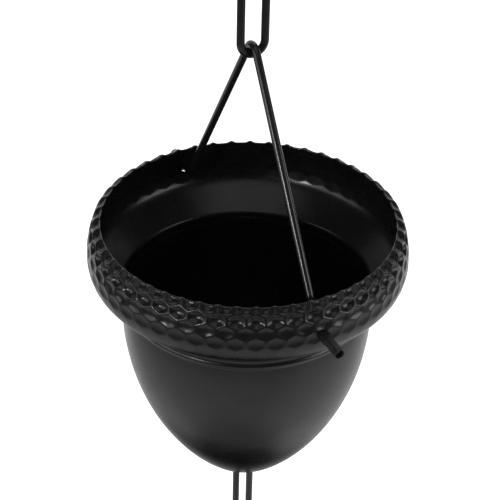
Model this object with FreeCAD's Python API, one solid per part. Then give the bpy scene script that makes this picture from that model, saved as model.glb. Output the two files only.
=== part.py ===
"""One unit of an acorn cup rain chain, hanging straight down, in millimetres.

From the top: a long wire link, an inverted V hanger hooked over it, the acorn cup that the
hanger carries, and the next link, which hangs on a loose cross pin over the cup's drain hole.
The origin is where the unit hangs: the inside of the upper link's top bend. +Z is up.
"""
import FreeCAD, Part
import math
import os

os.makedirs("parts", exist_ok=True)

# Stock
WIRE_D = 3.0             # both links, the hanger and the cross pin
SHEET = 0.8              # wall of the stamped cup
GAP = 0.3                # air where one hanging piece rests on another

# Links
LINK_LENGTH = 60.0       # outside, end to end
LINK_WIDTH = 12.5        # outside, across both legs
LINK_TURN = 12.0         # the lower link lies turned this far from the hanger's plane, degrees

# Hanger
HANGER_DROP = 84.5       # from the crown's centre line to the line of its turned-out ends
CROWN_BEND = 4.0         # centre line radius over the link
FOOT_BEND = 4.5          # centre line radius where the arms turn out
FOOT_CLEAR = 0.6         # from the end of the foot bend to the inside of the wall
END_OUT = 11.8           # from the wall to the tip of the end sleeve

# End sleeves
SLEEVE_D = 3.8           # plain outer stretch
SLEEVE_BORE_SLACK = 0.05 # radial, on the wire
RIB_D = 4.5              # ribs beside the wall
RIB_COUNT = 3
RIB_PITCH = 1.2
SLEEVE_RECESS = 1.2      # the wire ends this far inside the sleeve's mouth

# Collar of the cup: depths are measured down from the rim
LIP_BEND = 4.3           # the lip rolls in over the top on this radius
LIP_LEAN = 80.0          # outward normal at the rim, degrees above level
UPPER_BEND = 36.2        # radius from the lip's roll down to the belly
BELLY_R = 62.6           # widest ring of the collar
BELLY_DEPTH = 15.5
UNDER_BEND = 10.5        # radius from the belly in under the collar
UNDER_SLOPE = 40.0       # underside of the collar, degrees below level
HOLE_DEPTH = 12.5        # line of the hanger's ends
HOLE_D = 5.0             # the two hanger holes

# Hammered dimples: rows of six-sided cells, each row staggered by half a pitch
CELLS_ROUND = 50
ROWS = 5
FIRST_ROW = 2.9          # along the wall, from the rim to the first row's centres
ROW_STEP = 4.3           # along the wall, from one row's centres to the next
CELL_SIDE = 2.7          # length of the ridge between two cells of a row
DIMPLE_DEPTH = 1.3       # at the first row's centres
RIM_DIP = 1.1            # dimples at the rim itself
FADE_POWER = 1.9         # how late the dimples fade out down the collar
BAND_BELOW = 2.6         # from the last straight ridges to the smooth wall
SEAM = 0.1               # the facets end this far inside the smooth wall's two faces

# Body of the cup
NECK_HEIGHT = 1.6        # straight neck under the collar
BEAD_BEND = 1.4          # radius of the bead under the neck
BEAD_PROUD = 0.5
BODY_R = 50.0            # widest ring of the body
BODY_DEPTH = 42.0        # depth of that ring
CUP_HEIGHT = 128.6       # rim to the tip of the nose, if it had no hole
NOSE_BEND = 19.7         # radius of the nose's ball
SIDE_STRETCHES = 4       # the side's arc is drawn in this many stretches
DRAIN_D = 18.0

# Cross pin
PIN_LENGTH = 24.0
PIN_CHAMFER = 0.4

WIRE_R = WIRE_D / 2
BEND_R = (LINK_WIDTH - WIRE_D) / 2
PITCH = 360.0 / CELLS_ROUND


def vec(x, y, z):
    return FreeCAD.Vector(x, y, z)


def arc(centre, radius, start, stop):
    """Arc in the XZ plane between two angles in degrees, counted from +X towards +Z."""
    at = [math.radians(start + (stop - start) * share) for share in (0.0, 0.5, 1.0)]
    ends = [vec(centre[0] + radius * math.cos(a), 0, centre[1] + radius * math.sin(a)) for a in at]
    return Part.Arc(*ends).toShape()


def arcs(centre, radius, start, stop, count):
    step = (stop - start) / count
    return [arc(centre, radius, start + n * step, start + (n + 1) * step) for n in range(count)]


def line(start, stop):
    """Straight edge in the XZ plane."""
    return Part.LineSegment(vec(start[0], 0, start[1]), vec(stop[0], 0, stop[1])).toShape()


def joined(edges):
    """Edges in order, with a straight edge wherever two of them don't meet."""
    path = [edges[0]]
    for edge in edges[1:]:
        last = path[-1].Vertexes[-1].Point
        first = edge.Vertexes[0].Point
        if last.distanceToPoint(first) > 1e-6:
            path.append(Part.LineSegment(last, first).toShape())
        path.append(edge)
    return path


def closed_face(edges):
    """Face inside a ring of edges, closed by a straight edge where it needs one."""
    ring = joined(edges + [edges[0]])[:-1]
    return Part.Face(Part.Wire(ring))


def revolved(edges):
    return closed_face(edges).revolve(vec(0, 0, 0), vec(0, 0, 1), 360)


def wire_along(edges, start, heading):
    """Round wire swept along a path that leaves start towards heading."""
    section = Part.Wire(Part.Circle(start, heading, WIRE_R).toShape())
    return Part.Wire(edges).makePipeShell([section], True, True)


def link(bar_z):
    """Closed oval link in the XZ plane, its top bend's centre line reaching bar_z."""
    top = bar_z - BEND_R
    bottom = bar_z - (LINK_LENGTH - WIRE_D) + BEND_R
    halves = []
    for centre, start in ((top, 0), (bottom, 180)):
        bend = Part.makeTorus(BEND_R, WIRE_R, vec(0, 0, 0), vec(0, 0, 1), -180, 180, 180)
        bend.rotate(vec(0, 0, 0), vec(1, 0, 0), 90)
        bend.rotate(vec(0, 0, 0), vec(0, 1, 0), start)
        bend.translate(vec(0, 0, centre))
        halves.append(bend)
    legs = [Part.makeCylinder(WIRE_R, top - bottom, vec(side * BEND_R, 0, bottom)) for side in (-1, 1)]
    return halves[0].fuse([halves[1]] + legs).removeSplitter()


# Collar section: the lip rolls over the top, a wide arc comes down to the belly, and a
# tighter arc goes in under it. Each touches the next. UNDER_ANGLE is where the last one ends.
JOIN_LEAN = math.asin((BELLY_DEPTH - LIP_BEND * math.sin(math.radians(LIP_LEAN))) / (UPPER_BEND - LIP_BEND))
LIP_RUN = LIP_BEND * (math.radians(LIP_LEAN) - JOIN_LEAN)
BELLY_RUN = LIP_RUN + UPPER_BEND * JOIN_LEAN
UNDER_ANGLE = 90 - UNDER_SLOPE


def collar_at(run):
    """Radius and height of the collar's outside, and its outward normal, run down from the rim."""
    centre_r, centre_z = BELLY_R - UPPER_BEND, -BELLY_DEPTH
    bend = UPPER_BEND
    lean = (BELLY_RUN - run) / UPPER_BEND
    if run < LIP_RUN:
        bend = LIP_BEND
        lean = math.radians(LIP_LEAN) - run / LIP_BEND
        centre_r += (UPPER_BEND - LIP_BEND) * math.cos(JOIN_LEAN)
        centre_z += (UPPER_BEND - LIP_BEND) * math.sin(JOIN_LEAN)
    elif run > BELLY_RUN:
        bend = UNDER_BEND
        lean = (BELLY_RUN - run) / UNDER_BEND
        centre_r = BELLY_R - UNDER_BEND
    normal = (math.cos(lean), math.sin(lean))
    return centre_r + bend * normal[0], centre_z + bend * normal[1], normal


def net_end():
    """How far down the collar the dimpled band ends and the smooth wall begins."""
    return FIRST_ROW + (ROWS - 1) * ROW_STEP + CELL_SIDE / 2 + BAND_BELOW


def ring_of_points(name, row=0):
    """Run down the collar, depth in from it, and parity of one ring of the dimple net.

    Points lie at half pitches. The cells of even rows are centred on the even ones, and those
    of odd rows on the odd ones. Ridges run straight down between the cells of a row for
    CELL_SIDE, then fork round the cells of the next row. Parity None is every half pitch.
    """
    centre = FIRST_ROW + row * ROW_STEP
    if name == "rim":
        return 0.0, 0.0, 1
    if name == "rim_dip":
        return 0.0, RIM_DIP, 0
    if name == "centre":
        return centre, DIMPLE_DEPTH * (1 - (row / ROWS) ** FADE_POWER), row % 2
    if name == "above":
        return centre - CELL_SIDE / 2, 0.0, (row + 1) % 2
    if name == "below":
        return centre + CELL_SIDE / 2, 0.0, (row + 1) % 2
    return net_end(), 0.0, None


def cell_outline(row, at):
    """The corners of one cell as ring and half pitch, in order; the rim cuts the first row's."""
    low = [("below", row, at + 1), ("above", row + 1, at), ("below", row, at - 1)]
    if row == 0:
        return [("rim", 0, at - 1), ("rim_dip", 0, at), ("rim", 0, at + 1)] + low
    return [("above", row, at - 1), ("below", row - 1, at), ("above", row, at + 1)] + low


class Net:
    """Points and facets of the dimpled band, its outside and its inside."""

    def __init__(self):
        self.points = []
        self.facets = []
        self.ids = {}

    def point(self, name, row, at, inside):
        at = at % (2 * CELLS_ROUND)
        key = (name, row, at, inside)
        if key not in self.ids:
            run, depth, parity = ring_of_points(name, row)
            radius, height, normal = collar_at(run)
            inset = depth + (SHEET if inside else 0)
            r, z = radius - inset * normal[0], height - inset * normal[1]
            if name == "end":
                r, z = (radius - SHEET / normal[0] + SEAM if inside else radius - SEAM), height
            angle = math.radians(at * PITCH / 2)
            self.ids[key] = len(self.points)
            self.points.append(vec(r * math.cos(angle), r * math.sin(angle), z))
        return self.ids[key]

    def facet(self, corners, inside):
        self.facets.append(tuple(reversed(corners)) if inside else tuple(corners))

    def quad(self, a, b, c, d, inside):
        self.facet((a, b, c), inside)
        self.facet((a, c, d), inside)

    def cell(self, row, at, inside):
        middle = self.point("centre", row, at, inside)
        around = [self.point(*corner, inside) for corner in cell_outline(row, at)]
        for n, corner in enumerate(around):
            self.facet((middle, around[(n + 1) % len(around)], corner), inside)

    def solid(self):
        shape = Part.Shape()
        shape.makeShapeFromMesh((self.points, self.facets), 0.001)
        solid = Part.Solid(Part.Shell(shape.Faces))
        if solid.Volume < 0:
            solid.reverse()
        return solid


def last_edge(at):
    """Corner of the last row's lower edge at one half pitch."""
    if at % 2 == (ROWS - 1) % 2:
        return "above", ROWS, at
    return "below", ROWS - 1, at


def rim_edge(at):
    return ("rim" if at % 2 else "rim_dip"), 0, at


def dimpled_band():
    """The dimpled part of the collar as one closed solid of flat facets, its lower face level."""
    net = Net()
    for inside in (False, True):
        for row in range(ROWS):
            for cell in range(CELLS_ROUND):
                net.cell(row, 2 * cell + row % 2, inside)
        for at in range(2 * CELLS_ROUND):
            upper = [net.point(*last_edge(n), inside) for n in (at, at + 1)]
            lower = [net.point("end", 0, n, inside) for n in (at, at + 1)]
            net.quad(upper[0], lower[0], lower[1], upper[1], inside)
    for at in range(2 * CELLS_ROUND):
        outer, inner = ([net.point(*rim_edge(n), inside) for n in (at, at + 1)] for inside in (False, True))
        net.quad(outer[0], outer[1], inner[1], inner[0], False)
        outer, inner = ([net.point("end", 0, n, inside) for n in (at, at + 1)] for inside in (False, True))
        net.quad(outer[0], inner[0], inner[1], outer[1], False)
    return net.solid()


def side_bend():
    """Radius of the body's side in section: level at BODY_DEPTH, and touching the nose's ball."""
    fall = CUP_HEIGHT - BODY_DEPTH - NOSE_BEND
    return (BODY_R ** 2 + fall ** 2 - NOSE_BEND ** 2) / (2 * (BODY_R - NOSE_BEND))


def cup_wall():
    """Smooth part of the cup, in section: collar underside, neck, bead, body and nose."""
    nose_z = NOSE_BEND - CUP_HEIGHT
    bend = side_bend()
    side = (BODY_R - bend, -BODY_DEPTH)
    tangent = math.degrees(math.atan2(nose_z + BODY_DEPTH, bend - BODY_R))
    join_z, join_normal = collar_at(net_end())[1:]
    join_angle = math.degrees(math.asin(join_normal[1]))
    under = (BELLY_R - UNDER_BEND, -BELLY_DEPTH)
    slope = math.radians(UNDER_SLOPE)
    sides = []
    for inset in (0.0, SHEET):
        neck_r = bead_and_neck(inset)[0]
        low = math.radians(-UNDER_ANGLE)
        cone_top = (under[0] + (UNDER_BEND - inset) * math.cos(low),
                    under[1] + (UNDER_BEND - inset) * math.sin(low))
        cone_foot = (neck_r, cone_top[1] - (cone_top[0] - neck_r) * math.tan(slope))
        start = join_angle
        if inset:
            start = math.degrees(math.asin((join_z - under[1]) / (UNDER_BEND - inset)))
        bead_z, bead_r, half = bead_and_neck(inset)[1:]
        bead_turn = math.degrees(math.asin(half / (BEAD_BEND - inset)))
        body_start = math.degrees(math.asin((bead_z - half + BODY_DEPTH) / (bend - inset)))
        nose_end = -math.degrees(math.acos(DRAIN_D / 2 / (NOSE_BEND - inset)))
        sides.append([
            arc(under, UNDER_BEND - inset, start, -UNDER_ANGLE),
            line(cone_top, cone_foot),
            arc((bead_r, bead_z), BEAD_BEND - inset, bead_turn, -bead_turn),
            *arcs(side, bend - inset, body_start, tangent, SIDE_STRETCHES),
            arc((0, nose_z), NOSE_BEND - inset, tangent, nose_end),
        ])
    outside, inside = (joined(side) for side in sides)
    back = [reversed_edge(edge) for edge in reversed(inside)]
    return revolved(outside + back)


def reversed_edge(edge):
    """The same edge, run the other way."""
    first, last = edge.FirstParameter, edge.LastParameter
    ends = [edge.valueAt(last), edge.valueAt((first + last) / 2), edge.valueAt(first)]
    if isinstance(edge.Curve, Part.Line):
        return Part.LineSegment(ends[0], ends[2]).toShape()
    return Part.Arc(*ends).toShape()


def bead_and_neck(inset):
    """Neck radius, and the bead's centre height, centre radius and half height, on one face."""
    slope = math.tan(math.radians(UNDER_SLOPE))
    low = math.radians(-UNDER_ANGLE)
    outer_half = math.sqrt(BEAD_BEND ** 2 - (BEAD_BEND - BEAD_PROUD) ** 2)
    neck_r = BODY_R - BEAD_PROUD / 2
    cone_r = BELLY_R - UNDER_BEND + UNDER_BEND * math.cos(low)
    cone_z = -BELLY_DEPTH + UNDER_BEND * math.sin(low) - (cone_r - neck_r) * slope
    bead_z = cone_z - NECK_HEIGHT - outer_half
    bead_r = neck_r - (BEAD_BEND - BEAD_PROUD)
    half = math.sqrt((BEAD_BEND - inset) ** 2 - (neck_r - inset - bead_r) ** 2)
    return neck_r - inset, bead_z, bead_r, half


def cup():
    shape = cup_wall().fuse(dimpled_band())
    drop = HOLE_D / 2 - WIRE_R - GAP
    for side in (-1, 1):
        drill = Part.makeCylinder(HOLE_D / 2, BELLY_R, vec(0, 0, -HOLE_DEPTH - drop), vec(side, 0, 0))
        shape = shape.cut(drill)
    return shape


def foot_corner():
    """Where an arm's line meets the line of the hanger's ends, found by the arm's own angle."""
    wall = BELLY_R - SHEET - DIMPLE_DEPTH - FOOT_CLEAR
    reach = wall
    for _ in range(20):
        lean = arm_lean(reach)
        reach = wall - FOOT_BEND * math.tan(math.radians(90 - lean) / 2)
    return reach, lean


def arm_lean(reach):
    """Angle of an arm from upright, in degrees, tangent to the crown and reaching the corner."""
    drop = HANGER_DROP - CROWN_BEND
    distance = math.hypot(reach, drop)
    return math.degrees(math.atan2(reach, drop) - math.asin(CROWN_BEND / distance))


def hanger_path(crown_z, tip):
    """Centre line of the hanger from one tip to the other, in the XZ plane."""
    reach, lean = foot_corner()
    ends_z = crown_z - HANGER_DROP
    turn = 90 - lean
    foot_x = reach + FOOT_BEND * math.tan(math.radians(turn) / 2)
    foot = (foot_x, ends_z + FOOT_BEND)
    crown = (0, crown_z - CROWN_BEND)
    mirror = (-foot_x, ends_z + FOOT_BEND)
    return joined([
        line((-tip, ends_z), (-foot_x, ends_z)),
        arc(mirror, FOOT_BEND, 270, 270 + turn),
        arc(crown, CROWN_BEND, 180 - lean, lean),
        arc(foot, FOOT_BEND, 270 - turn, 270),
        line((foot_x, ends_z), (tip, ends_z)),
    ])


def hanger(crown_z):
    tip = BELLY_R + END_OUT - SLEEVE_RECESS
    start = vec(-tip, 0, crown_z - HANGER_DROP)
    return wire_along(hanger_path(crown_z, tip), start, vec(1, 0, 0))


def end_sleeve(side, ends_z):
    """Rubber sleeve on a turned-out end: ribs beside the wall, then a plain tube."""
    bore = WIRE_R + SLEEVE_BORE_SLACK
    plain, rib = SLEEVE_D / 2, RIB_D / 2
    start = BELLY_R + GAP / 2
    tube = Part.makeCylinder(plain, END_OUT - GAP / 2, vec(0, 0, start))
    ribs = []
    for n in range(RIB_COUNT):
        ring = Part.makeCylinder(rib, RIB_PITCH * 0.6, vec(0, 0, start + n * RIB_PITCH))
        ribs.append(ring)
    body = tube.fuse(ribs).cut(Part.makeCylinder(bore, 2 * BELLY_R))
    body.rotate(vec(0, 0, 0), vec(0, 1, 0), 90 * side)
    body.translate(vec(0, 0, ends_z))
    return body


def cross_pin(pin_z):
    """Loose pin that lies across the inside of the nose, over the drain hole."""
    pin = Part.makeCylinder(WIRE_R, PIN_LENGTH, vec(0, 0, -PIN_LENGTH / 2))
    pin = pin.makeChamfer(PIN_CHAMFER, [edge for edge in pin.Edges if isinstance(edge.Curve, Part.Circle)])
    pin.rotate(vec(0, 0, 0), vec(1, 0, 0), 90)
    pin.rotate(vec(0, 0, 0), vec(0, 0, 1), LINK_TURN)
    pin.translate(vec(0, 0, pin_z))
    return pin


def build():
    bar_z = WIRE_R - (LINK_LENGTH - WIRE_D)
    crown_z = bar_z + WIRE_D + GAP
    ends_z = crown_z - HANGER_DROP
    rim_z = ends_z + HOLE_DEPTH
    seat = math.sqrt((NOSE_BEND - SHEET) ** 2 - (PIN_LENGTH / 2) ** 2)
    pin_z = rim_z + NOSE_BEND - CUP_HEIGHT - seat + WIRE_R + GAP

    upper = link(WIRE_R)
    upper.rotate(vec(0, 0, 0), vec(0, 0, 1), 90)
    lower = link(pin_z + WIRE_D + GAP)
    lower.rotate(vec(0, 0, 0), vec(0, 0, 1), LINK_TURN)
    shell = cup()
    shell.translate(vec(0, 0, rim_z))
    print("bar %.3f crown %.3f ends %.3f rim %.3f pin %.3f" % (bar_z, crown_z, ends_z, rim_z, pin_z))
    return {
        "upper_link": upper,
        "hanger": hanger(crown_z),
        "end_sleeve_left": end_sleeve(-1, ends_z),
        "end_sleeve_right": end_sleeve(1, ends_z),
        "cup": shell,
        "cross_pin": cross_pin(pin_z),
        "lower_link": lower,
    }


for name, shape in build().items():
    print(name, shape.isValid(), len(shape.Solids), len(shape.Faces), round(shape.Volume, 2))
    shape.exportStep("parts/%s.step" % name)
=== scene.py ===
"""One unit of a rain chain, dressed for the photo's view.

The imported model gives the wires, sleeves and pin. The cup is made again here as one smooth
pressed sheet, with the outline of its solid, round dimples and soft edges.
"""
import math

import bpy
import numpy as np
from mathutils import Matrix, Vector


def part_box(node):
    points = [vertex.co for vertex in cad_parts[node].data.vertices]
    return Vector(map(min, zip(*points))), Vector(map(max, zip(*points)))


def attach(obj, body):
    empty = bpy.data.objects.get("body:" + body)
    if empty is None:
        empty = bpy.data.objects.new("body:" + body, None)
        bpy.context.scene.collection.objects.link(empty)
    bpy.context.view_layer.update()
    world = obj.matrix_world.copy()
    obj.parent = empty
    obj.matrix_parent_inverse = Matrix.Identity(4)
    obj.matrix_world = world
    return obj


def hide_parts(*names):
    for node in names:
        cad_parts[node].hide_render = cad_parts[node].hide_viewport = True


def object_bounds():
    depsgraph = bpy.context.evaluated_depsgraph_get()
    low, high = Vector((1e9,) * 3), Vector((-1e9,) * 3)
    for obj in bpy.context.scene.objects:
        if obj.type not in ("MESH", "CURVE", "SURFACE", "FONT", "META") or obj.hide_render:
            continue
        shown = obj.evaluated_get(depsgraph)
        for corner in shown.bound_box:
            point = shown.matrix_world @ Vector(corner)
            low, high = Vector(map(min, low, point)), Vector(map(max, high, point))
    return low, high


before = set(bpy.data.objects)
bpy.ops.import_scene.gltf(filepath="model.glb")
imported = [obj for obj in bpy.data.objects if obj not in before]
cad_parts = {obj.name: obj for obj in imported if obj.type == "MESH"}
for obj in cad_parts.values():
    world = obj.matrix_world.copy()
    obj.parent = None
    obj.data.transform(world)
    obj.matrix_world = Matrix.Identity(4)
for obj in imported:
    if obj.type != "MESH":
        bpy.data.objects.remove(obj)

cad_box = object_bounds()

MM = 0.001

# Cup, in millimetres, depths measured down from the rim
SHEET = 0.8
EDGE_R = SHEET / 2       # the sheet's cut edges are rounded by the paint
LIP_BEND = 4.3
LIP_LEAN = math.radians(80)
UPPER_BEND = 36.2
BELLY_R = 62.6
BELLY_DEPTH = 15.5
UNDER_BEND = 10.5
UNDER_SLOPE = math.radians(40)
NECK_HEIGHT = 1.6
BEAD_BEND = 1.4
BEAD_PROUD = 0.5
BODY_R = 50.0
BODY_DEPTH = 42.0
CUP_HEIGHT = 128.6
NOSE_BEND = 19.7
DRAIN_D = 18.0
HOLE_DEPTH = 12.9        # centre of the two hanger holes
HOLE_D = 4.2

# Dimples: six-sided cells in rows, each row half a cell on from the last
CELLS_ROUND = 50
ROWS = 5
FIRST_ROW = 1.9          # middle of the first row, run down from the rim
ROW_STEP = 4.4
CELL_SIDE = 2.75         # length of a cell's two upright sides
POINT = ROW_STEP - CELL_SIDE  # how far its points reach past them
BAND_BELOW = 2.6         # smooth stretch below the last row
RIM_LAND = 0.4           # the first row's dishes would end this far past the rim, on a straight edge
DIMPLE_DEPTH = 1.4
ROUNDNESS = 5.0          # how closely a dimple keeps to its six sides
BOWL_POWER = 2.0         # 1 is a cone, 2 a dish
SIDE_SHARE = 0.75        # below 1, the ridges between neighbours of one row are broader
RIDGE_SOFT = 0.6         # share of a dish's half width over which the ridge is rounded
RIM_SIDE_SHARE = 0.5     # the same two for the first row
RIM_RIDGE_SOFT = 0.8
FADE_ROWS = 4.6          # rows until the dimples have faded out
FADE_POWER = 0.36        # below 1, most of that happens in the upper rows
INSIDE_SHARE = 0.6       # the dimples are shallower on the inside
INSIDE_LEAST = 0.2       # but never shallower than this share of the full depth
FIRST_TURN = math.radians(-114.3)  # where the first column of cells starts
SWAY_COS = math.radians(5.0)  # how far the columns sway from even spacing round the cup
SWAY_SIN = math.radians(1.6)

# Mesh density, with rings' distances in millimetres
HALF_STEPS = 8           # columns from one half pitch to the next
ROW_STEPS = 8            # rings from one ridge to the next
CROWDING = 0.05          # how far both crowd towards the ridges
INSIDE_SKIP = 2          # the inside skin has every second column and row of the band
BODY_SKIP = 4            # below the band there is every fourth column
RIM_STEPS = 6            # steps round the rim's cut edge
DRAIN_STEPS = 5
LINE_STEP = 0.12         # points of the wall's section
LINE_EASING = 10         # passes that ease its corners
NECK_START = 0.5
NECK_END = BODY_DEPTH - 3.0
NECK_RINGS = (0.4, 0.8)  # distances outside and inside, down to the neck's end
BODY_RINGS = (1.6, 2.4)
DRILL_SIDES = 48
SHARP_ANGLE = math.radians(80)  # edges sharper than this, round the hanger holes, stay sharp

# Camera, from the photo: metres from the middle of the rim, lens and sensor in millimetres
CAMERA_REACH = 0.495
CAMERA_RISE = math.radians(33.46)
CAMERA_TURN = math.radians(64)
LENS = 92.8
SENSOR = 36.0
AIM_UP = -0.0264
AIM_SIDE = 0.0016
ROLL = math.radians(1.4)
CLIP_START = 0.01

# Surroundings that glossy paint mirrors: each a direction right, away and up of the camera's view,
# the cosines of the angles at which it fades in and is full, and its strength, below 0 to darken
ROOM_GLOW = 0.03
ROOM_PATCHES = (
    ((0.0, 0.0, -1.0), 0.36, 0.66, 0.55),
    ((0.85, 0.0, -0.55), 0.6, 0.95, 0.15),
    ((-0.05, -0.1, -1.0), 0.90, 0.99, -0.35),
    ((-0.05, 0.3, -0.95), 0.90, 0.99, -0.55),
    ((-0.05, 0.6, -0.8), 0.90, 0.99, -0.55),
    ((0.0, 0.8, 0.6), 0.7, 0.92, 0.9),
    ((0.0, -0.42, 0.9), 0.82, 0.99, 0.6),
)
BACKDROP = ((0.0, 1.0, -0.05), 0.35, 0.85)
SOFT_LIGHT = 0.9         # light on matt surfaces from all round

# Soft square boxes: places right, away and up of the cup's middle, sides in metres, watts
LIGHTS = (
    ("left_box", (-1.1, -0.4, 0.2), 0.7, 2.6),
    ("right_box", (1.1, -0.4, 0.2), 0.7, 4.4),
    ("key", (-0.75, -0.9, 0.3), 0.16, 4.0),
)

# Floor, in metres
FLOOR_DROP = 0.12        # below the unit's lowest point
FLOOR_HALF = 4.0
FLOOR_SHADE = 0.8
FLOOR_ROUGH = 0.9
FLOOR_GLOW = 0.6         # to the camera alone, so that the lit floor is white

# Coats: darkest and lightest shade, roughness, noise scales of both, grain as scale, detail, strength
COAT_IOR = 1.5
PAINT_MOTTLE = (60.0, 140.0)
PAINT_GRAIN = (900.0, 2.0, 0.25)
SHEET_LOOK = ((0.0035, 0.0035, 0.0036), (0.0055, 0.0055, 0.0057), (0.24, 0.3), PAINT_MOTTLE, PAINT_GRAIN)
WIRE_LOOK = ((0.005, 0.005, 0.005), (0.009, 0.009, 0.009), (0.18, 0.26), PAINT_MOTTLE, PAINT_GRAIN)
RUBBER_LOOK = ((0.002, 0.002, 0.002), (0.004, 0.004, 0.004), (0.45, 0.6), (400.0, 500.0), (2500.0, 3.0, 0.4))
GRAIN_HEIGHT = 0.00003
NOISE_DETAIL = 3.0
NOISE_MIDDLE = (0.3, 0.7)  # nearly all of the noise lies between these

JOIN_LEAN = math.asin((BELLY_DEPTH - LIP_BEND * math.sin(LIP_LEAN)) / (UPPER_BEND - LIP_BEND))
LIP_RUN = LIP_BEND * (LIP_LEAN - JOIN_LEAN)
BELLY_RUN = LIP_RUN + UPPER_BEND * JOIN_LEAN
NET_END = FIRST_ROW + (ROWS - 1) * ROW_STEP + CELL_SIDE / 2 + BAND_BELOW
rim_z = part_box("cup")[1].z / MM


def collar_at(run):
    """Radius, depth and lean of the outward normal on the collar's outside, run down from the rim."""
    lip = run < LIP_RUN
    upper = run < BELLY_RUN
    bend = np.where(lip, LIP_BEND, np.where(upper, UPPER_BEND, UNDER_BEND))
    lean = np.where(lip, LIP_LEAN - run / LIP_BEND, (BELLY_RUN - run) / bend)
    shift = np.where(lip, UPPER_BEND - LIP_BEND, 0.0)
    centre_r = np.where(upper, BELLY_R - UPPER_BEND, BELLY_R - UNDER_BEND) + shift * math.cos(JOIN_LEAN)
    centre_z = -BELLY_DEPTH + shift * math.sin(JOIN_LEAN)
    return centre_r + bend * np.cos(lean), centre_z + bend * np.sin(lean), lean


def eased(count):
    """Shares from 0 to 1 that crowd towards both ends, where the ridges are."""
    share = np.arange(count + 1) / count
    return share - CROWDING * np.sin(2 * math.pi * share)


def columns(skip):
    """Half pitches of one ring's points."""
    shares = eased(HALF_STEPS)[:-1:skip]
    return (np.arange(2 * CELLS_ROUND)[:, None] + shares).ravel()


def zigzag(row, at):
    """Run of the ridge below one row of cells, at each half pitch."""
    from_middle = np.abs((at - row % 2 + 1) % 2 - 1)
    return FIRST_ROW + row * ROW_STEP + CELL_SIDE / 2 + POINT * (1 - from_middle)


def dimple(row, at, run):
    """Depth of the dimples of one row: a round-bottomed bowl inside the six ridges of each cell."""
    across = (at - row % 2 + 1) % 2 - 1
    down = run - (FIRST_ROW + row * ROW_STEP)
    width = math.pi * collar_at(np.array(FIRST_ROW + row * ROW_STEP))[0] / CELLS_ROUND
    slant = width / math.hypot(width, POINT)
    end = CELL_SIDE / 2 + POINT
    side_share, ease = (RIM_SIDE_SHARE, RIM_RIDGE_SOFT) if row == 0 else (SIDE_SHARE, RIDGE_SOFT)
    least = 1e-3

    def bowl(across, down):
        sides = [
            (1 - across) * width * side_share,
            (1 + across) * width * side_share,
            (end - POINT * across - down) * slant,
            (end + POINT * across - down) * slant,
        ]
        if row == 0:
            sides += [FIRST_ROW + RIM_LAND + down] * 2
        else:
            sides += [(end - POINT * across + down) * slant, (end + POINT * across + down) * slant]
        total = sum(np.maximum(side, least) ** -ROUNDNESS for side in sides)
        return total ** (-1 / ROUNDNESS)

    middle = bowl(0.0, 0.0)
    ridge = bowl(np.array(1.0), np.array(0.0))
    share = np.clip((bowl(across, down) - ridge) / (middle - ridge), 0, 1)
    soft = (np.hypot(share, ease) - ease) / (math.hypot(1, ease) - ease)
    return DIMPLE_DEPTH * (1 - (1 - soft) ** BOWL_POWER)


def fade(row, inset):
    """Share of a row's full depth: lower rows are shallower, and all are shallower on the inside."""
    outside = 1 - (max(row - 1, 0) / (FADE_ROWS - 1)) ** FADE_POWER
    return max(outside * INSIDE_SHARE, INSIDE_LEAST) if inset else outside


def band_rings(skip, inset):
    """Rings of the dimpled band from the rim down, each a pair of radii and heights by column."""
    at = columns(skip)
    steps = eased(ROW_STEPS)[::skip]
    lines = [np.full_like(at, EDGE_R)]
    lines += [zigzag(row, at) for row in range(ROWS)]
    lines += [np.full_like(at, NET_END)]
    rings = []
    for row in range(ROWS + 1):
        for share in steps[:-1] if row < ROWS else steps:
            run = lines[row] * (1 - share) + lines[row + 1] * share
            depth = dimple(row, at, run) * fade(row, inset) if row < ROWS else 0.0
            radius, height, lean = collar_at(run)
            away = depth + inset
            rings.append((radius - away * np.cos(lean), height - away * np.sin(lean)))
    return rings


def rim_rings(skip, count):
    """Rings round the rim's cut edge, from the outside skin over to the inside one."""
    at = columns(skip)
    run = np.full_like(at, EDGE_R)
    depth = dimple(0, at, run)
    radius, height, lean = collar_at(run)
    rings = []
    for step in range(1, count):
        turn = math.pi * step / count
        away = depth + EDGE_R * (1 - math.cos(turn))
        over = EDGE_R * math.sin(turn)
        rings.append((radius - away * np.cos(lean) - over * np.sin(lean),
                      height - away * np.sin(lean) + over * np.cos(lean)))
    return rings


def arc_points(centre, radius, start, stop, step):
    count = max(2, int(abs(stop - start) * radius / step))
    turn = np.linspace(start, stop, count)
    return np.stack([centre[0] + radius * np.cos(turn), centre[1] + radius * np.sin(turn)], 1)


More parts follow.
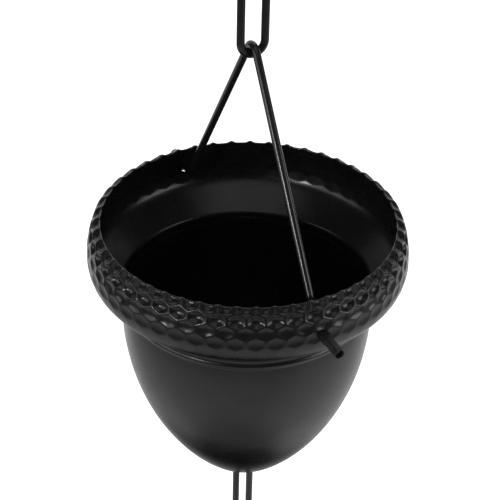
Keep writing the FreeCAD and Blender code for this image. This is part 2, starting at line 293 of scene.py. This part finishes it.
def wall_line():
    """Outside of the cup in section below the dimpled band, finely stepped, its corners eased."""
    step = LINE_STEP
    lean = float(collar_at(np.array(NET_END))[2])
    under = (BELLY_R - UNDER_BEND, -BELLY_DEPTH)
    low = UNDER_SLOPE - math.pi / 2
    neck_r = BODY_R - BEAD_PROUD / 2
    cone_top = (under[0] + UNDER_BEND * math.cos(low), under[1] + UNDER_BEND * math.sin(low))
    cone_foot = (neck_r, cone_top[1] - (cone_top[0] - neck_r) * math.tan(UNDER_SLOPE))
    half = math.sqrt(BEAD_BEND ** 2 - (BEAD_BEND - BEAD_PROUD) ** 2)
    bead = (neck_r - (BEAD_BEND - BEAD_PROUD), cone_foot[1] - NECK_HEIGHT - half)
    bead_turn = math.asin(half / BEAD_BEND)
    fall = CUP_HEIGHT - BODY_DEPTH - NOSE_BEND
    side = (BODY_R ** 2 + fall ** 2 - NOSE_BEND ** 2) / (2 * (BODY_R - NOSE_BEND))
    tangent = math.atan2(NOSE_BEND - CUP_HEIGHT + BODY_DEPTH, side - BODY_R)
    body_start = math.asin((bead[1] - half + BODY_DEPTH) / side)
    nose_end = -math.acos((DRAIN_D / 2 + EDGE_R) / NOSE_BEND)
    parts = [
        arc_points(under, UNDER_BEND, lean, low, step),
        np.linspace(cone_top, cone_foot, int((cone_top[0] - neck_r) / step)),
        np.linspace(cone_foot, (neck_r, bead[1] + half), int(NECK_HEIGHT / step)),
        arc_points(bead, BEAD_BEND, bead_turn, -bead_turn, step),
        arc_points((BODY_R - side, -BODY_DEPTH), side, body_start, tangent, step),
        arc_points((0, NOSE_BEND - CUP_HEIGHT), NOSE_BEND, tangent, nose_end, step),
    ]
    points = np.concatenate([part[1:] if n else part for n, part in enumerate(parts)])
    lengths = np.concatenate([[0], np.cumsum(np.hypot(*np.diff(points, axis=0).T))])
    even = np.arange(0, lengths[-1], step)
    line = np.stack([np.interp(even, lengths, points[:, n]) for n in range(2)], 1)
    for _ in range(LINE_EASING):
        line[1:-1] = (line[:-2] + 2 * line[1:-1] + line[2:]) / 4
    return even, line


def wall_rings(skip, inset):
    """Rings of the smooth wall from the dimpled band down to the drain hole."""
    lengths, line = wall_line()
    along = np.gradient(line, axis=0)
    along /= np.hypot(along[:, 0], along[:, 1])[:, None]
    line = line - inset * np.stack([-along[:, 1], along[:, 0]], 1)
    side = 1 if inset else 0
    neck_end = lengths[np.argmax(line[:, 1] < -NECK_END)]
    neck = np.arange(NECK_START, neck_end, NECK_RINGS[side])
    body = np.arange(neck_end, lengths[-1], BODY_RINGS[side])
    at = columns(skip)
    rings = []
    for stop in np.concatenate([neck, body, [lengths[-1]]]):
        radius = np.interp(stop, lengths, line[:, 0])
        height = np.interp(stop, lengths, line[:, 1])
        rings.append((np.full_like(at, radius), np.full_like(at, height)))
    return rings


def drain_rings(skip, count):
    """Rings round the drain hole's cut edge."""
    at = columns(skip)
    lean = -math.acos((DRAIN_D / 2 + EDGE_R) / NOSE_BEND)
    middle = NOSE_BEND - EDGE_R
    rings = []
    for step in range(1, count):
        turn = math.pi * step / count
        out = EDGE_R * math.cos(turn)
        down = EDGE_R * math.sin(turn)
        radius = (middle + out) * math.cos(lean) + down * math.sin(lean)
        height = (middle + out) * math.sin(lean) - down * math.cos(lean) + NOSE_BEND - CUP_HEIGHT
        rings.append((np.full_like(at, radius), np.full_like(at, height)))
    return rings


def column_angle(at):
    """Angle round the cup of a column given in half pitches."""
    even = at * math.pi / CELLS_ROUND
    return FIRST_TURN + even + SWAY_COS * np.cos(even) + SWAY_SIN * np.sin(even)


def sheet_mesh(name, groups):
    """One closed skin from groups of rings. Groups may have fewer columns by a whole factor."""
    points, faces, rings = [], [], []
    for skip, group in groups:
        angle = column_angle(columns(skip))
        for radius, height in group:
            first = sum(len(part) for part in points)
            ring = [radius * np.cos(angle), radius * np.sin(angle), height + rim_z]
            points.append(np.stack(ring, 1))
            rings.append((first, len(angle)))
    for (a, a_count), (b, b_count) in zip(rings, rings[1:] + rings[:1]):
        count = min(a_count, b_count)
        a_step, b_step = a_count // count, b_count // count
        for n in range(count):
            upper = [a + (n * a_step + k) % a_count for k in range(a_step + 1)]
            lower = [b + (n * b_step + k) % b_count for k in range(b_step + 1)]
            faces.append(upper[::-1] + lower)
    mesh = bpy.data.meshes.new(name)
    mesh.from_pydata((np.concatenate(points) * MM).tolist(), [], faces)
    mesh.validate()
    mesh.update()
    return mesh


def make_cup():
    """The pressed sheet, down its outside and up its inside, with the two hanger holes cut."""
    groups = [
        (1, band_rings(1, 0.0)),
        (BODY_SKIP, wall_rings(BODY_SKIP, 0.0)),
        (BODY_SKIP, drain_rings(BODY_SKIP, DRAIN_STEPS)),
        (BODY_SKIP, wall_rings(BODY_SKIP, SHEET)[::-1]),
        (INSIDE_SKIP, band_rings(INSIDE_SKIP, SHEET)[::-1]),
        (1, rim_rings(1, RIM_STEPS)[::-1]),
    ]
    cup = bpy.data.objects.new("pressed_cup", sheet_mesh("pressed_cup", groups))
    bpy.context.scene.collection.objects.link(cup)
    drill = hole_drill()
    cut = cup.modifiers.new("holes", "BOOLEAN")
    cut.object = drill
    cut.solver = "EXACT"
    bpy.context.view_layer.update()
    evaluated = cup.evaluated_get(bpy.context.evaluated_depsgraph_get())
    mesh = bpy.data.meshes.new_from_object(evaluated)
    cup.modifiers.clear()
    cup.data = mesh
    bpy.data.objects.remove(drill)
    mesh.polygons.foreach_set("use_smooth", [True] * len(mesh.polygons))
    mesh.set_sharp_from_angle(angle=SHARP_ANGLE)
    return cup


def hole_drill():
    """One long round bar through both hanger holes."""
    sides = DRILL_SIDES
    turn = np.arange(sides) * 2 * math.pi / sides
    y = HOLE_D / 2 * np.cos(turn)
    z = HOLE_D / 2 * np.sin(turn) + rim_z - HOLE_DEPTH
    points = [(x, y[n], z[n]) for x in (-2 * BELLY_R, 2 * BELLY_R) for n in range(sides)]
    faces = [(n, (n + 1) % sides, sides + (n + 1) % sides, sides + n) for n in range(sides)]
    faces += [tuple(reversed(range(sides))), tuple(range(sides, 2 * sides))]
    mesh = bpy.data.meshes.new("hole_drill")
    mesh.from_pydata((np.array(points) * MM).tolist(), [], faces)
    mesh.update()
    drill = bpy.data.objects.new("hole_drill", mesh)
    bpy.context.scene.collection.objects.link(drill)
    return drill


def new_material(name):
    material = bpy.data.materials.new(name)
    material.use_nodes = True
    nodes = material.node_tree.nodes
    nodes.clear()
    shader = nodes.new("ShaderNodeBsdfPrincipled")
    output = nodes.new("ShaderNodeOutputMaterial")
    material.node_tree.links.new(shader.outputs["BSDF"], output.inputs["Surface"])
    return material, shader


def add_node(material, kind, **values):
    node = material.node_tree.nodes.new(kind)
    for name, value in values.items():
        if name in node.inputs:
            node.inputs[name].default_value = value
        else:
            setattr(node, name, value)
    return node


def noise(material, scale, detail=NOISE_DETAIL):
    place = add_node(material, "ShaderNodeTexCoord")
    texture = add_node(material, "ShaderNodeTexNoise", Scale=scale, Detail=detail)
    material.node_tree.links.new(place.outputs["Object"], texture.inputs["Vector"])
    return texture.outputs["Fac"]


def ramp(material, source, low, high):
    """The source's middle range stretched from low to high."""
    node = add_node(material, "ShaderNodeMapRange")
    node.inputs["From Min"].default_value = NOISE_MIDDLE[0]
    node.inputs["From Max"].default_value = NOISE_MIDDLE[1]
    node.inputs["To Min"].default_value = low
    node.inputs["To Max"].default_value = high
    material.node_tree.links.new(source, node.inputs["Value"])
    return node.outputs["Result"]


def coat(name, dark, light, rough, scales, grain):
    """A black coat with slight mottling in shade and gloss, and a fine grain."""
    material, shader = new_material(name)
    link = material.node_tree.links.new
    shader.inputs["IOR"].default_value = COAT_IOR
    shade = add_node(material, "ShaderNodeMix", data_type="RGBA")
    shade.inputs["A"].default_value = (*dark, 1)
    shade.inputs["B"].default_value = (*light, 1)
    link(ramp(material, noise(material, scales[0]), 0.0, 1.0), shade.inputs["Factor"])
    link(shade.outputs["Result"], shader.inputs["Base Color"])
    link(ramp(material, noise(material, scales[1]), *rough), shader.inputs["Roughness"])
    scale, detail, strength = grain
    bump = add_node(material, "ShaderNodeBump", Strength=strength, Distance=GRAIN_HEIGHT)
    link(noise(material, scale, detail), bump.inputs["Height"])
    link(bump.outputs["Normal"], shader.inputs["Normal"])
    return material


def dress(obj, material):
    obj.data.materials.clear()
    obj.data.materials.append(material)


def add_camera():
    """The photo's camera: aimed at the middle of the rim, then shifted and rolled a little."""
    aim = Vector((0, 0, rim_z * MM))
    away = Vector((
        math.cos(CAMERA_RISE) * math.sin(CAMERA_TURN),
        -math.cos(CAMERA_RISE) * math.cos(CAMERA_TURN),
        math.sin(CAMERA_RISE),
    ))
    ahead = -away
    right = ahead.cross(Vector((0, 0, 1))).normalized()
    up = right.cross(ahead)
    ahead = (ahead + AIM_SIDE * right + AIM_UP * up).normalized()
    right = ahead.cross(Vector((0, 0, 1))).normalized()
    up = right.cross(ahead)
    turned = Matrix((right, up, -ahead)).transposed() @ Matrix.Rotation(ROLL, 3, "Z")
    camera = bpy.data.objects.new("camera", bpy.data.cameras.new("camera"))
    camera.data.sensor_width = SENSOR
    camera.data.lens = LENS
    camera.data.clip_start = CLIP_START
    camera.location = aim + CAMERA_REACH * away
    camera.rotation_mode = "QUATERNION"
    camera.rotation_quaternion = turned.to_quaternion()
    bpy.context.scene.collection.objects.link(camera)
    bpy.context.scene.camera = camera


def view_axes():
    """Directions seen from the photo's camera, level with the floor: right, away and up."""
    right = Vector((math.cos(CAMERA_TURN), math.sin(CAMERA_TURN), 0))
    away = Vector((-math.sin(CAMERA_TURN), math.cos(CAMERA_TURN), 0))
    return right, away, Vector((0, 0, 1))


def add_light(name, place, side, power):
    """A soft box aimed at the cup's middle."""
    middle = Vector((0, 0, (rim_z - CUP_HEIGHT / 2) * MM))
    data = bpy.data.lights.new(name, "AREA")
    data.shape = "SQUARE"
    data.size = side
    data.energy = power
    light = bpy.data.objects.new(name, data)
    light.location = middle + sum((a * s for a, s in zip(view_axes(), place)), Vector())
    light.rotation_mode = "QUATERNION"
    light.rotation_quaternion = (middle - light.location).to_track_quat("-Z", "Y")
    bpy.context.scene.collection.objects.link(light)


def add_world():
    """White behind the unit, and round it what its paint mirrors: softly lit sides in a dim room."""
    world = bpy.data.worlds.new("studio")
    world.use_nodes = True
    tree = world.node_tree
    tree.nodes.clear()
    axes = view_axes()
    ray = tree.nodes.new("ShaderNodeTexCoord").outputs["Generated"]

    def math_node(operation, *sources):
        node = tree.nodes.new("ShaderNodeMath")
        node.operation = operation
        for socket, source in zip(node.inputs, sources):
            if isinstance(source, float):
                socket.default_value = source
            else:
                tree.links.new(source, socket)
        return node.outputs[0]

    def towards(direction, start, full):
        """1 where rays run close to a direction, fading to 0, by the cosines of two angles."""
        axis = sum((a * s for a, s in zip(axes, direction)), Vector())
        dot = tree.nodes.new("ShaderNodeVectorMath")
        dot.operation = "DOT_PRODUCT"
        dot.inputs[1].default_value = axis.normalized()
        tree.links.new(ray, dot.inputs[0])
        fade = tree.nodes.new("ShaderNodeMapRange")
        fade.interpolation_type = "SMOOTHSTEP"
        fade.inputs["From Min"].default_value = start
        fade.inputs["From Max"].default_value = full
        tree.links.new(dot.outputs["Value"], fade.inputs["Value"])
        return fade.outputs["Result"]

    def background(strength):
        node = tree.nodes.new("ShaderNodeBackground")
        node.inputs["Color"].default_value = (1, 1, 1, 1)
        if isinstance(strength, float):
            node.inputs["Strength"].default_value = strength
        else:
            tree.links.new(strength, node.inputs["Strength"])
        return node.outputs[0]

    glow = ROOM_GLOW
    for direction, start, full, strength in ROOM_PATCHES:
        patch = math_node("MULTIPLY", towards(direction, start, full), strength)
        glow = math_node("ADD", patch, glow)
    rays = tree.nodes.new("ShaderNodeLightPath").outputs
    glow = math_node("MAXIMUM", glow, math_node("MULTIPLY", rays["Is Diffuse Ray"], SOFT_LIGHT))
    seen = math_node("MAXIMUM", rays["Is Camera Ray"], rays["Is Transmission Ray"])
    behind = math_node("MULTIPLY", rays["Is Glossy Ray"], towards(*BACKDROP))
    mix = tree.nodes.new("ShaderNodeMixShader")
    output = tree.nodes.new("ShaderNodeOutputWorld")
    tree.links.new(math_node("MAXIMUM", seen, behind), mix.inputs[0])
    tree.links.new(background(glow), mix.inputs[1])
    tree.links.new(background(1.0), mix.inputs[2])
    tree.links.new(mix.outputs[0], output.inputs["Surface"])
    bpy.context.scene.world = world


def add_floor():
    """A plain pale floor under the hanging unit, white to the camera but for the shadow on it."""
    low = cad_box[0].z - FLOOR_DROP
    corners = [(x * FLOOR_HALF, y * FLOOR_HALF, low) for x, y in ((-1, -1), (1, -1), (1, 1), (-1, 1))]
    mesh = bpy.data.meshes.new("floor")
    mesh.from_pydata(corners, [], [(0, 1, 2, 3)])
    floor = bpy.data.objects.new("floor", mesh)
    floor.visible_glossy = False  # the paint mirrors the world's patches instead
    bpy.context.scene.collection.objects.link(floor)
    material, shader = new_material("pale_floor")
    shader.inputs["Base Color"].default_value = (FLOOR_SHADE, FLOOR_SHADE, FLOOR_SHADE, 1)
    shader.inputs["Roughness"].default_value = FLOOR_ROUGH
    shader.inputs["Emission Color"].default_value = (1, 1, 1, 1)
    rays = add_node(material, "ShaderNodeLightPath")
    glow = add_node(material, "ShaderNodeMath", operation="MULTIPLY")
    glow.inputs[1].default_value = FLOOR_GLOW
    material.node_tree.links.new(rays.outputs["Is Camera Ray"], glow.inputs[0])
    material.node_tree.links.new(glow.outputs[0], shader.inputs["Emission Strength"])
    dress(floor, material)


add_camera()
add_world()
add_floor()
for light in LIGHTS:
    add_light(*light)

sheet_paint = coat("black_sheet_look", *SHEET_LOOK)
wire_paint = coat("black_wire_look", *WIRE_LOOK)
rubber_look = coat("black_rubber_look", *RUBBER_LOOK)

cup = make_cup()
dress(cup, sheet_paint)
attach(cup, "cup")
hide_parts("cup")

for node in ("upper_link", "hanger", "cross_pin", "lower_link"):
    dress(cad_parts[node], wire_paint)
for node in ("end_sleeve_left", "end_sleeve_right"):
    dress(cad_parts[node], rubber_look)

bpy.context.scene.view_settings.view_transform = "Standard"
